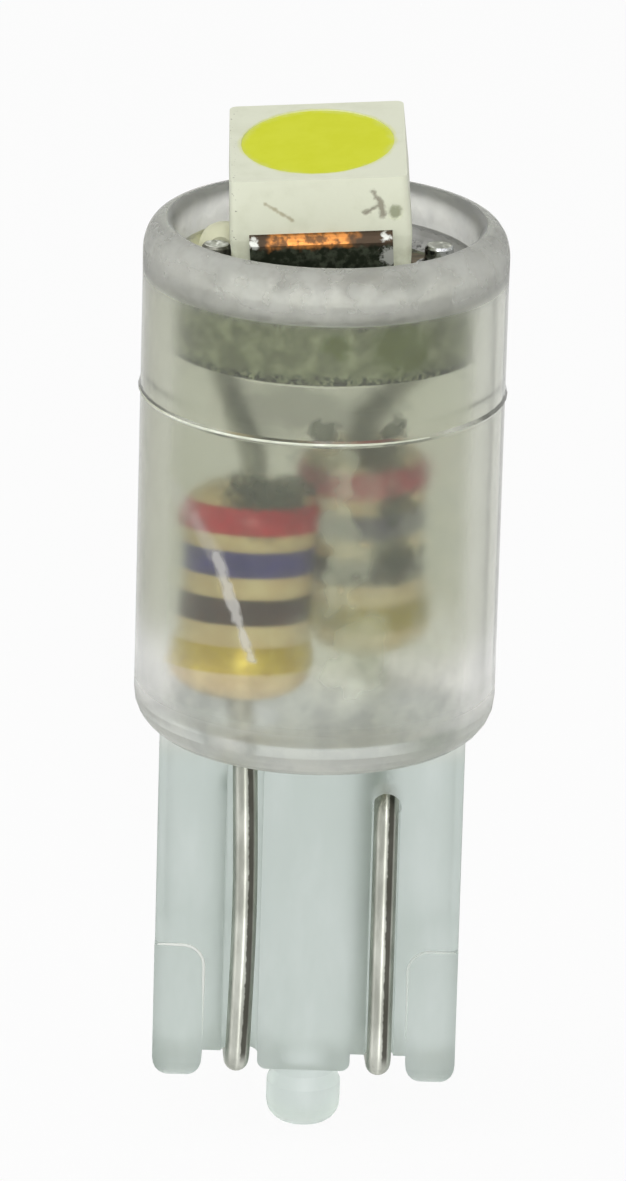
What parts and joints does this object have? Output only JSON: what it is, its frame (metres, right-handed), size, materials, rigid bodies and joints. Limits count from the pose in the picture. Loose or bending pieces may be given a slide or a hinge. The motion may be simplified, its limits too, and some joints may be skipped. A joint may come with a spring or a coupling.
{
  "type": "wedge base led bulb",
  "caption": "Clear cylindrical wedge base bulb with a surface-mount LED above its rim, resistors inside and lead wires wrapped round a flat base.",
  "frame": {"origin": "centre of the housing's shoulder, the flat underside of the cup where the wedge plate starts", "axes": "+Z along the bulb's axis towards the light; -Y is the front face, where the left wire comes down; X runs across the wedge plate's width"},
  "size_m": [0.0058, 0.0058, 0.0169],
  "materials": {
    "clear_plastic": "moulded, clear with a milky cast",
    "board": "glass-fibre laminate, sawn edge",
    "copper": "etched copper, thinly tinned",
    "led_white": "moulded white resin",
    "phosphor": "lemon yellow silicone fill",
    "die": "polished",
    "bond_gold": "bright",
    "terminal_metal": "tarnished plating, copper where it is rubbed",
    "solder": "dull to bright, uneven",
    "adhesive": "clear, slightly yellow",
    "resistor_lacquer": "tan lacquer",
    "band_red": "paint",
    "band_violet": "paint",
    "band_brown": "paint",
    "band_gold": "metallic paint",
    "wire": "tinned, drawn wire"
  },
  "bodies": {
    "root": {"housing": "clear_plastic", "circuit_board": "board", "front_land": "copper", "rear_land": "copper", "led_package": "led_white", "led_window": "phosphor", "led_die": "die", "led_front_terminal": "terminal_metal", "led_rear_terminal": "terminal_metal", "led_front_bond_wire": "bond_gold", "led_rear_bond_wire": "bond_gold", "front_terminal_solder": "solder", "rear_terminal_solder": "solder", "left_lead_solder": "solder", "right_lead_solder": "solder", "sealing_adhesive": "adhesive", "front_resistor_body": "resistor_lacquer", "front_resistor_red_band": "band_red", "front_resistor_violet_band": "band_violet", "front_resistor_brown_band": "band_brown", "front_resistor_gold_band": "band_gold", "front_resistor_upper_lead": "wire", "front_contact_wire": "wire", "rear_resistor_body": "resistor_lacquer", "rear_resistor_red_band": "band_red", "rear_resistor_violet_band": "band_violet", "rear_resistor_brown_band": "band_brown", "rear_resistor_gold_band": "band_gold", "rear_resistor_upper_lead": "wire", "rear_contact_wire": "wire"}
  },
  "joints": []
}
